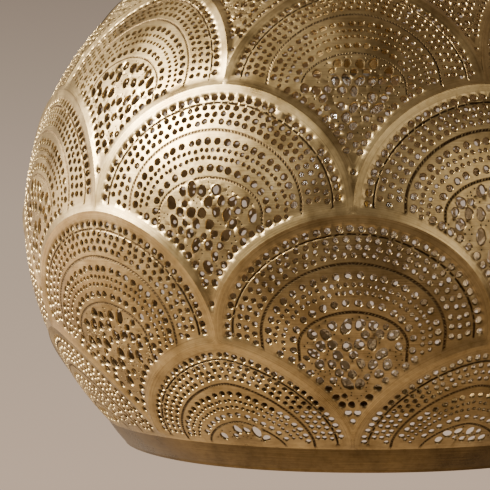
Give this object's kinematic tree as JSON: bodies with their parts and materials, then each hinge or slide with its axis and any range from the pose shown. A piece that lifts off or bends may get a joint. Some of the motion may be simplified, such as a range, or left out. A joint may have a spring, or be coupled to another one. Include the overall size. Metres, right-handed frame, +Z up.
{
  "type": "hanging_lantern",
  "caption": "Hanging lantern: a pierced brass globe in a fish-scale pattern, open at the bottom, hung from a ring by its capped neck, with a lampholder and bulb inside.",
  "frame": {"origin": "the hanging point: the underside of the top of the hanging ring, on the centre line", "axes": "+Z up through the hanging point; X is square to the plane of the ring, toward the cord inlet; Y lies in the plane of the ring"},
  "size_m": [0.3, 0.3, 0.3302],
  "materials": {
    "pierced_brass": "aged, brushed and hand pierced",
    "antique_brass": "aged, spun",
    "holder_brass": "satin",
    "plain_brass": "turned",
    "plated_steel": "zinc plated",
    "black_plastic": "moulded",
    "white_ceramic": "glazed porcelain",
    "clear_glass": "clear",
    "filament": "phosphor coated"
  },
  "bodies": {
    "ring": {"hanging_ring": "antique_brass"},
    "lantern": {"hanging_loop": "antique_brass", "loop_washer": "antique_brass", "stud_spring_washer": "plated_steel", "stud_nut": "plated_steel", "top_cap": "antique_brass", "cap_screws": "plated_steel", "cord_grommet": "black_plastic", "top_collar": "antique_brass", "globe_shell": "pierced_brass", "bottom_rim": "pierced_brass", "cross_bar": "plated_steel", "cross_bar_screws": "plated_steel", "cross_bar_nuts": "plated_steel", "cord_clamp": "black_plastic", "cord_clamp_screws": "plated_steel", "earth_screw": "plain_brass", "earth_washer": "plain_brass", "threaded_tube": "plain_brass", "tube_washers": "plated_steel", "tube_nuts": "plain_brass", "holder_cap": "holder_brass", "holder_lock_screw": "plated_steel", "holder_body": "holder_brass", "ceramic_core": "white_ceramic", "terminal_screws": "plain_brass", "socket_shell": "plain_brass", "centre_contact": "plain_brass"},
    "bulb_travel": {"bulb_contact": "plated_steel"},
    "bulb": {"bulb_cap": "plated_steel", "bulb_insulator": "black_plastic", "bulb_glass": "clear_glass", "bulb_stem": "clear_glass", "bulb_filaments": "filament", "filament_supports": "plated_steel"}
  },
  "joints": [
    {"name": "swing", "type": "hinge", "parent": "ring", "child": "lantern", "pos_m": [0, 0, -0.0375], "axis": [0, 1, 0], "range_deg": [-60, 60]},
    {"name": "bulb_travel", "type": "slide", "parent": "lantern", "child": "bulb_travel", "axis": [0, 0, -1], "range_m": [0, 0.0157]},
    {"name": "bulb_turn", "type": "hinge", "parent": "bulb_travel", "child": "bulb", "pos_m": [0, 0, -0.21], "axis": [0, 0, -1], "range_deg": [0, 1557.5]}
  ],
  "couplings": [
    {"joint": "bulb_turn", "follows": "bulb_travel", "rad_per_m": 1731.4}
  ]
}
